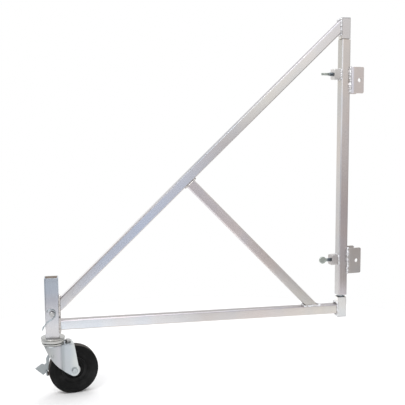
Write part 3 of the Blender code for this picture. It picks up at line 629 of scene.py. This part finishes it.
def build_lock_wire():
    """The spring wire hooks over the pin's head, crosses the post and wraps behind its far corner."""
    front = -POST_HALF - WIRE_R - 0.0005
    turns = [(-0.0125, 0.0040), (-0.0105, 0.0090), (-0.0030, 0.0116), (0.0050, 0.0095),
             (0.0086, 0.0015), (0.0070, -0.0070), (0.0010, -0.0135), (-0.0075, -0.0180)]
    route = [Vector((x, front, z)) for x, z in turns]
    route += [Vector((-0.0160, front, -0.0245)), Vector((-0.0212, -0.0150, -0.0340)),
              Vector((-0.0240, -0.0070, -0.0415)), Vector((-0.0256, 0.0020, -0.0470)),
              Vector((-0.0262, 0.0080, -0.0478)), Vector((-0.0252, 0.0120, -0.0440)),
              Vector((-0.0236, 0.0130, -0.0390))]
    placed = [POST @ (point + UP * PIN_AXIS.z) for point in smooth_route(route, 8)]
    radii = [WIRE_R] * len(placed)
    radii[0] = radii[-1] = WIRE_R * 0.6
    points, faces = loft(swept(placed, radii, 12))
    piece = piece_from("lock_wire", points, faces, MATERIALS["spring_steel"], "pin_wire",
                       60.0)
    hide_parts("lock_pin_wire")


def build_brake_spring():
    coil_r = 0.0052
    first = 0.0114
    turns, steps = 3, 24
    route = [Vector((coil_r, first, -0.0060)), Vector((coil_r, first, -0.0030))]
    for step in range(turns * steps + 1):
        angle = 2 * math.pi * step / steps
        along = first + 0.0021 * step / steps
        route.append(Vector((coil_r * math.cos(angle), along, coil_r * math.sin(angle))))
    route.append(route[-1] + Vector((0, 0, 0.0100)))
    hub = CASTER.inverted() @ BRAKE_AXIS
    placed = [CASTER @ (hub + point) for point in route]
    points, faces = loft(swept(placed, [0.0008] * len(placed), 10))
    piece = piece_from("brake_torsion_spring", points, faces, MATERIALS["spring_steel"], "caster_fork",
                       60.0)
    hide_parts("brake_spring")


# ---------------------------------------------------------------- CAD nodes
def dress(name, material, soft_edge):
    """Give a CAD node its look: its own material, smooth rounds, flat faces and small worn edges."""
    shown = frame["nodes"][name]
    mesh = shown.data
    mesh.materials.clear()
    mesh.materials.append(material)
    if mesh.has_custom_normals:
        mesh.attributes.remove(mesh.attributes["custom_normal"])
    join = shown.modifiers.new("join", "WELD")
    join.merge_threshold = 0.00001
    mesh.shade_smooth()
    if soft_edge:
        round_off = shown.modifiers.new("soft_edges", "BEVEL")
        round_off.width = soft_edge
        round_off.segments = 2
        round_off.limit_method = "ANGLE"
        round_off.angle_limit = math.radians(34)
        round_off.harden_normals = False
    flatten = shown.modifiers.new("flat_faces", "WEIGHTED_NORMAL")
    flatten.mode = "FACE_AREA"
    flatten.weight = 80


# ---------------------------------------------------------------- stage
def build_camera():
    heading = math.radians(CAMERA_HEADING)
    drop = math.radians(CAMERA_DROP)
    forward = Vector((math.sin(heading) * math.cos(drop), math.cos(heading) * math.cos(drop),
                      -math.sin(drop)))
    right = Vector((math.cos(heading), -math.sin(heading), 0))
    upward = (-forward).cross(right)
    level = Matrix((right, upward, -forward)).transposed()
    turn = level @ Matrix.Rotation(math.radians(CAMERA_ROLL), 3, "Z")
    lens = bpy.data.cameras.new("camera")
    lens.lens = LENS
    lens.sensor_width = 36.0
    lens.clip_start = 0.05
    camera = bpy.data.objects.new("camera", lens)
    camera.matrix_world = Matrix.Translation(CAMERA_PLACE) @ turn.to_4x4()
    bpy.context.scene.collection.objects.link(camera)
    bpy.context.scene.camera = camera


def build_floor(material):
    mesh = bpy.data.meshes.new("floor")
    edge = [(FLOOR_CENTRE[0] + FLOOR_RADIUS * math.cos(angle),
             FLOOR_CENTRE[1] + FLOOR_RADIUS * math.sin(angle), 0.0)
            for angle in (2 * math.pi * i / 96 for i in range(96))]
    mesh.from_pydata(edge, [], [tuple(range(len(edge)))])
    mesh.materials.append(material)
    floor = bpy.data.objects.new("floor", mesh)
    bpy.context.scene.collection.objects.link(floor)


def area_light(name, place, target, size, power):
    lamp = bpy.data.lights.new(name, "AREA")
    lamp.shape = "RECTANGLE"
    lamp.size, lamp.size_y = size
    lamp.energy = power
    light = bpy.data.objects.new(name, lamp)
    light.location = place
    light.rotation_euler = (Vector(target) - Vector(place)).to_track_quat("-Z", "Y").to_euler()
    bpy.context.scene.collection.objects.link(light)


def build_world():
    """A white surround, dimmer behind the camera, with a dark flag far off on either side."""
    world = bpy.data.worlds.new("studio")
    bpy.context.scene.world = world
    world.use_nodes = True
    tree = world.node_tree
    tree.nodes.clear()
    coords = tree.nodes.new("ShaderNodeTexCoord")
    split = tree.nodes.new("ShaderNodeSeparateXYZ")
    tree.links.new(coords.outputs["Generated"], split.inputs["Vector"])

    def stops(socket, low, high, entries):
        spread = tree.nodes.new("ShaderNodeMapRange")
        spread.inputs["From Min"].default_value = low
        spread.inputs["From Max"].default_value = high
        made = tree.nodes.new("ShaderNodeValToRGB")
        while len(made.color_ramp.elements) < len(entries):
            made.color_ramp.elements.new(0.5)
        for element, (place, colour) in zip(made.color_ramp.elements, entries):
            element.position = place
            element.color = (*colour, 1.0)
        tree.links.new(socket, spread.inputs["Value"])
        tree.links.new(spread.outputs["Result"], made.inputs["Fac"])
        return made.outputs["Color"]

    front = stops(split.outputs["Z"], -0.4, 0.6, [
        (0.0, (0.60, 0.60, 0.62)), (0.33, (0.60, 0.58, 0.58)), (0.50, (0.93, 0.90, 0.88)),
        (1.0, (0.95, 0.95, 0.97))])
    back = stops(split.outputs["Z"], -0.4, 0.6, [
        (0.0, (0.85, 0.84, 0.83)), (0.4, (1.0, 1.0, 1.0)), (1.0, (1.05, 1.05, 1.05))])
    side = stops(split.outputs["Y"], -0.6, 0.5, [(0.0, (0.0, 0.0, 0.0)), (1.0, (1.0, 1.0, 1.0))])
    flags = stops(split.outputs["X"], -1.0, 1.0, [
        (0.02, (0.60, 0.60, 0.60)), (0.12, (1.0, 1.0, 1.0)), (0.88, (1.0, 1.0, 1.0)),
        (0.96, (0.28, 0.28, 0.27))])
    blend = tree.nodes.new("ShaderNodeMix")
    blend.data_type = "RGBA"
    tree.links.new(side, blend.inputs["Factor"])
    tree.links.new(front, blend.inputs[6])
    tree.links.new(back, blend.inputs[7])
    shaded = tree.nodes.new("ShaderNodeMix")
    shaded.data_type = "RGBA"
    shaded.blend_type = "MULTIPLY"
    shaded.inputs["Factor"].default_value = 1.0
    tree.links.new(blend.outputs[2], shaded.inputs[6])
    tree.links.new(flags, shaded.inputs[7])
    lit = tree.nodes.new("ShaderNodeBackground")
    tree.links.new(shaded.outputs[2], lit.inputs["Color"])
    seen = tree.nodes.new("ShaderNodeBackground")
    seen.inputs["Color"].default_value = (1.0, 1.0, 1.0, 1.0)
    path = tree.nodes.new("ShaderNodeLightPath")
    chosen = tree.nodes.new("ShaderNodeMixShader")
    output = tree.nodes.new("ShaderNodeOutputWorld")
    tree.links.new(path.outputs["Is Camera Ray"], chosen.inputs["Fac"])
    tree.links.new(lit.outputs["Background"], chosen.inputs[1])
    tree.links.new(seen.outputs["Background"], chosen.inputs[2])
    tree.links.new(chosen.outputs["Shader"], output.inputs["Surface"])


# ---------------------------------------------------------------- assembly
def even(colour):
    return [(0.0, colour), (1.0, colour)]


# A tube's look, with painted reflections and painted shade along it and on its sides.
def tube_look(name, way, tones, sides=()):
    return zinc(name + "_look", tones, 0.27, way, span_of(name, way), sides)


def corner(first, second):
    """The direction that a rounded corner between two faces looks."""
    return (first + second).normalized()


dice = random.Random(7)
DIAGONAL_WAY = (FRAME_X * REACH + UP * DIAGONAL_RISE).normalized()
BRACE_LOW, BRACE_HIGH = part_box("brace_tube")
BRACE_WAY = (FRAME_X * (BRACE_HIGH.x - BRACE_LOW.x) - UP * (BRACE_HIGH.z - BRACE_LOW.z)).normalized()
BRACE_SIDE = BRACE_WAY.cross(FRAME_Y)
CASTER_X = Vector((AXLE_WAY.y, -AXLE_WAY.x, 0))
PALE = (0.66, 0.65, 0.655)
MATERIALS = {
    "zinc_tube": zinc("zinc_tube_look", even(PALE), 0.30),
    "zinc_plate": zinc("zinc_plate_look", even((0.56, 0.53, 0.53)), 0.40),
    "bright_zinc": zinc("bright_zinc_look", even((0.46, 0.47, 0.47)), 0.30),
    "bolt_steel": zinc("bolt_steel_look", even((0.46, 0.51, 0.53)), 0.30),
    "dark_steel": zinc("dark_steel_look", even((0.20, 0.22, 0.24)), 0.38),
    "spring_steel": zinc("spring_steel_look", even((0.40, 0.45, 0.47)), 0.28),
    "black_rubber": moulded("black_rubber_look", (0.0024, 0.0026, 0.0027), 0.68),
    "black_core": moulded("black_core_look", (0.0016, 0.0018, 0.0019), 0.36, 0.20),
    "bronze_bush": zinc("bronze_look", even((0.42, 0.30, 0.16)), 0.42),
    "grey_nylon": moulded("grey_nylon_look", (0.42, 0.42, 0.43), 0.48),
    "weld": weld_metal("weld_look", (0.54, 0.53, 0.52), (0.84, 0.85, 0.88)),
    "dull_weld": weld_metal("dull_weld_look", (0.44, 0.42, 0.40), (0.66, 0.63, 0.61)),
    # The tones of the tubes and the post are painted reflections, painted highlights and painted shade: lighter or
    # darker along each tube and on each face and rounded corner by which way it looks.
    "diagonal_tube": tube_look("diagonal_tube", DIAGONAL_WAY, [
        (0.05, (0.60, 0.595, 0.61)), (0.17, (0.60, 0.66, 0.78)), (0.31, (0.67, 0.74, 0.89)),
        (0.44, (0.69, 0.73, 0.83)), (0.57, (0.66, 0.65, 0.665)), (0.72, (0.84, 0.84, 0.81)),
        (0.88, (0.86, 0.85, 0.84)), (0.97, (0.80, 0.78, 0.78))], [
            (diagonal_side(), [(0.05, (0.84, 0.82, 0.83)), (0.20, (0.84, 0.81, 0.82)),
                               (0.50, (0.43, 0.43, 0.45)), (0.68, (0.44, 0.42, 0.44)),
                               (0.85, (0.37, 0.335, 0.365))]),
            (corner(diagonal_side(), -FRAME_Y), [(0.05, (0.34, 0.31, 0.31)), (0.30, (0.33, 0.31, 0.31)),
                                                 (0.50, (0.30, 0.32, 0.36)), (0.70, (0.50, 0.50, 0.50)),
                                                 (0.85, (0.76, 0.74, 0.77))]),
            (corner(diagonal_side(), FRAME_Y), even((0.42, 0.37, 0.36))),
            (corner(-diagonal_side(), -FRAME_Y), even((0.60, 0.56, 0.54)))]),
    "bottom_tube": tube_look("bottom_tube", FRAME_X, [
        (0.10, (0.68, 0.71, 0.75)), (0.29, (0.70, 0.705, 0.72)), (0.50, (0.565, 0.55, 0.547)),
        (0.72, (0.61, 0.57, 0.557)), (0.94, (0.64, 0.61, 0.57))], [
            (UP, [(0.10, (0.40, 0.37, 0.37)), (0.50, (0.36, 0.34, 0.34)), (0.90, (0.38, 0.35, 0.35))]),
            (corner(UP, -FRAME_Y), [(0.10, (0.88, 0.83, 0.87)), (0.50, (0.55, 0.53, 0.56)),
                                    (0.90, (0.52, 0.49, 0.51))]),
            (corner(UP, FRAME_Y), even((0.38, 0.34, 0.33))),
            (corner(-UP, -FRAME_Y), even((0.60, 0.56, 0.54)))]),
    "brace_tube": tube_look("brace_tube", BRACE_WAY, [
        (0.12, (0.68, 0.64, 0.66)), (0.40, (0.71, 0.66, 0.66)), (0.52, (0.63, 0.58, 0.575)),
        (0.88, (0.53, 0.505, 0.475))], [
            (BRACE_SIDE, even((0.46, 0.42, 0.41))),
            (corner(BRACE_SIDE, -FRAME_Y), even((0.64, 0.60, 0.57))),
            (corner(BRACE_SIDE, FRAME_Y), even((0.42, 0.37, 0.36)))]),
    "mast_tube": tube_look("mast_tube", UP, [
        (0.02, (0.60, 0.57, 0.59)), (0.07, (0.485, 0.45, 0.44)), (0.21, (0.545, 0.50, 0.50)),
        (0.36, (0.55, 0.49, 0.48)), (0.56, (0.64, 0.60, 0.595)), (0.93, (0.68, 0.64, 0.61))],
        [((-1, 0, 0), [(0.20, (0.60, 0.586, 0.583)), (0.56, (0.65, 0.615, 0.587)),
                       (0.91, (0.545, 0.53, 0.50))]),
         (corner(Vector((-1, 0, 0)), Vector((0, -1, 0))), [
             (0.30, (0.62, 0.60, 0.61)), (0.56, (0.72, 0.72, 0.76)), (0.66, (0.96, 0.97, 1.0))])]),
    "caster_post": tube_look("caster_post", UP, [
        (0.05, (0.58, 0.58, 0.60)), (0.22, (0.62, 0.617, 0.628)), (0.63, (0.447, 0.465, 0.52)),
        (0.88, (0.456, 0.506, 0.574))]),
    # The knuckles' faces that look towards -X are painted lighter: painted light on that side.
    "top_knuckle": zinc("top_knuckle_look", even((0.67, 0.66, 0.665)), 0.27,
                        sides=[(-FRAME_X, even((0.72, 0.70, 0.66)))]),
    "bottom_knuckle": zinc("bottom_knuckle_look", even((0.70, 0.70, 0.69)), 0.27,
                           sides=[(-FRAME_X, even((0.92, 0.91, 0.89)))]),
    # The upper channel and nut block are painted lighter than the lower ones: lit and shaded copies of one zinc;
    # the upper channel's tones along it are a painted highlight and painted shade.
    "upper_channel": zinc("upper_channel_look", [
        (0.14, (0.80, 0.79, 0.84)), (0.22, (0.69, 0.635, 0.61))], 0.38, (1, 0, 0),
        span_of("upper_channel", Vector((1, 0, 0)))),
    "lower_channel": zinc("lower_channel_look", even((0.46, 0.435, 0.42)), 0.38),
    "upper_nut_block": zinc("upper_nut_block_look", even((0.67, 0.66, 0.65)), 0.34),
    "lower_nut_block": zinc("lower_nut_block_look", even((0.53, 0.50, 0.485)), 0.34),
    "race": zinc("race_look", even((0.47, 0.47, 0.455)), 0.24),
    # The fork's tones along its length are painted reflections and painted shade, with a painted dark crease where
    # the round crown meets the flat legs.
    "fork": zinc("fork_look", [
        (0.10, (0.40, 0.41, 0.41)), (0.23, (0.414, 0.429, 0.432)), (0.42, (0.51, 0.51, 0.53)),
        (0.51, (0.375, 0.40, 0.415)), (0.55, (0.38, 0.41, 0.425)), (0.60, (0.47, 0.50, 0.525)),
        (0.73, (0.487, 0.525, 0.552)), (0.88, (0.60, 0.63, 0.62))], 0.30, CASTER_X,
        span_of("fork", CASTER_X)),
    "brake_lever": zinc("brake_lever_look", even((0.325, 0.357, 0.371)), 0.36),
    "clamp_screw": zinc("clamp_screw_look", [(0.20, (0.40, 0.44, 0.41)), (0.29, (0.15, 0.17, 0.19)),
                                             (0.90, (0.20, 0.22, 0.24))], 0.32, (1, 0, 0),
                        span_of("upper_clamp_screw", Vector((1, 0, 0)))),
}
OWN_LOOK = {"brake_pivot_pin": "fork", "lower_thrust_washer": "dark_steel", "crown_bolt": "bright_zinc",
            "upper_race": "race", "lower_race": "race", "stem_flange": "race"}
SOFT_EDGE = {"fork": 0.0006, "brake_lever": 0.0006, "upper_channel": 0.0005, "lower_channel": 0.0005,
             "stem_flange": 0.0, "caster_post": 0.0004}
# Painted shade inside the post's mouth.
paint_post_inner_shade(MATERIALS["caster_post"])
# Painted shade inside the fork.
paint_fork_inner_shade(MATERIALS["fork"])
# Dust and a painted sheen on the tread's outer rim.
paint_tread_dust_and_sheen(MATERIALS["black_rubber"], AXLE, AXLE_WAY, TREAD_R, (0.062, 0.054, 0.048))
for part in frame["record"]["subparts"]:
    part_name = part["node"]
    look = OWN_LOOK.get(part_name, part_name if part_name in MATERIALS else part["material_slot"])
    dress(part_name, MATERIALS[look], SOFT_EDGE.get(part_name, 0.0002))

build_frame_welds()
build_bracket_welds()
build_paddle_screw("upper")
build_paddle_screw("lower")
build_wheel()
build_balls()
build_lock_wire()
build_brake_spring()
build_axle_thread()

paper, paper_shader = new_material("floor_look")
paper_shader.inputs["Base Color"].default_value = (0.92, 0.92, 0.92, 1.0)
paper_shader.inputs["Roughness"].default_value = 0.9
build_floor(paper)
build_camera()
build_world()
area_light("key_light", (-2.2, -1.6, 2.8), (-0.4, 0.0, 0.4), (1.6, 1.6), 34.0)
area_light("top_light", (0.4, 1.2, 3.0), (-0.4, 0.0, 0.4), (2.4, 1.6), 26.0)
bpy.context.scene.view_settings.view_transform = "Standard"
